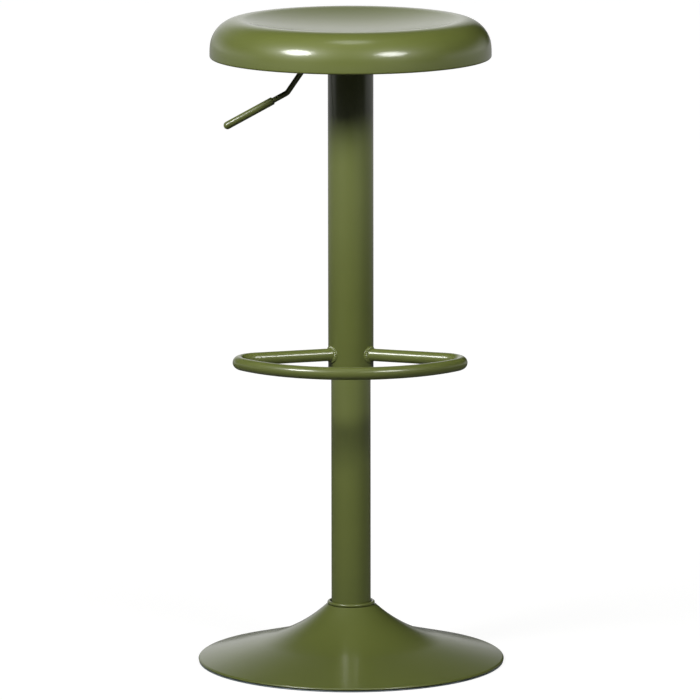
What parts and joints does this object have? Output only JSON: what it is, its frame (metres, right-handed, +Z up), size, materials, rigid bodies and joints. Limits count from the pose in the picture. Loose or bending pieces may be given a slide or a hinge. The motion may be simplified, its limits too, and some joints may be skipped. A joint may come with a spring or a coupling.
{
  "type": "bar stool",
  "caption": "Bar stool in painted steel: round dished seat on a swivelling gas-lift column, with a tube footrest that rises with the seat, a release lever and a trumpet base.",
  "frame": {"origin": "on the floor, at the column's axis", "axes": "+Z up along the column; the lever points towards -X and the footrest's front bar towards -Y"},
  "size_m": [0.39, 0.39, 0.823],
  "materials": {
    "olive_paint": "gloss olive-green lacquer on steel",
    "black_steel": "semi-matt black dip paint on pressed steel",
    "zinc_steel": "bright zinc plate",
    "bearing_steel": "ground and polished",
    "cast_iron": "as cast, grey",
    "alloy": "machined",
    "rubber": "moulded, matt",
    "soft_vinyl": "extruded soft vinyl, half clear blue-grey, satin",
    "bush_plastic": "moulded acetal"
  },
  "bodies": {
    "base": {"base_shell": "olive_paint", "base_hub": "black_steel", "brace_disc": "black_steel", "ballast_ring": "cast_iron", "ballast_bolts": "zinc_steel", "ballast_nuts": "zinc_steel", "floor_ring": "soft_vinyl", "collar_ring": "olive_paint", "stand_tube": "olive_paint", "tube_end_plate": "zinc_steel", "lower_race": "bearing_steel", "bearing_balls": "bearing_steel", "bearing_cage": "bush_plastic", "guide_bush": "bush_plastic"},
    "lift_rod": {"piston_rod": "bearing_steel", "upper_race": "bearing_steel", "rod_bumper": "rubber", "rod_washer": "zinc_steel", "rod_clip": "zinc_steel", "gas_piston": "alloy", "piston_seal": "rubber"},
    "seat": {"gas_cylinder": "black_steel", "cylinder_gland": "alloy", "valve_body": "alloy", "sleeve": "olive_paint", "sleeve_cap": "black_steel", "sleeve_guide": "bush_plastic", "footrest": "olive_paint", "footrest_welds": "olive_paint", "seat_shell": "olive_paint", "seat_bosses": "olive_paint", "lift_plate": "black_steel", "plate_washers": "zinc_steel", "plate_bolts": "zinc_steel", "lever_housing": "black_steel", "taper_socket": "black_steel", "pivot_pin": "zinc_steel", "pivot_spacers": "bush_plastic", "pivot_clips": "zinc_steel"},
    "lever": {"lever_blade": "black_steel", "lever_rod": "olive_paint", "lever_grip": "olive_paint"},
    "release_pin": {"release_pin": "zinc_steel"}
  },
  "joints": [
    {"name": "seat_swivel", "type": "hinge", "parent": "base", "child": "lift_rod", "pos_m": [0, 0, 0.03], "axis": [0, 0, 1], "continuous": true},
    {"name": "seat_height", "type": "slide", "parent": "lift_rod", "child": "seat", "axis": [0, 0, 1], "range_m": [-0.21, 0]},
    {"name": "lever_lift", "type": "hinge", "parent": "seat", "child": "lever", "pos_m": [-0.022, 0, 0.7915], "axis": [0, 1, 0], "range_deg": [0, 9], "stiffness_Nm_per_rad": 3},
    {"name": "pin_press", "type": "slide", "parent": "seat", "child": "release_pin", "axis": [0, 0, -1], "range_m": [0, 0.0036]}
  ],
  "couplings": [
    {"joint": "pin_press", "follows": "lever_lift", "m_per_rad": 0.022}
  ]
}
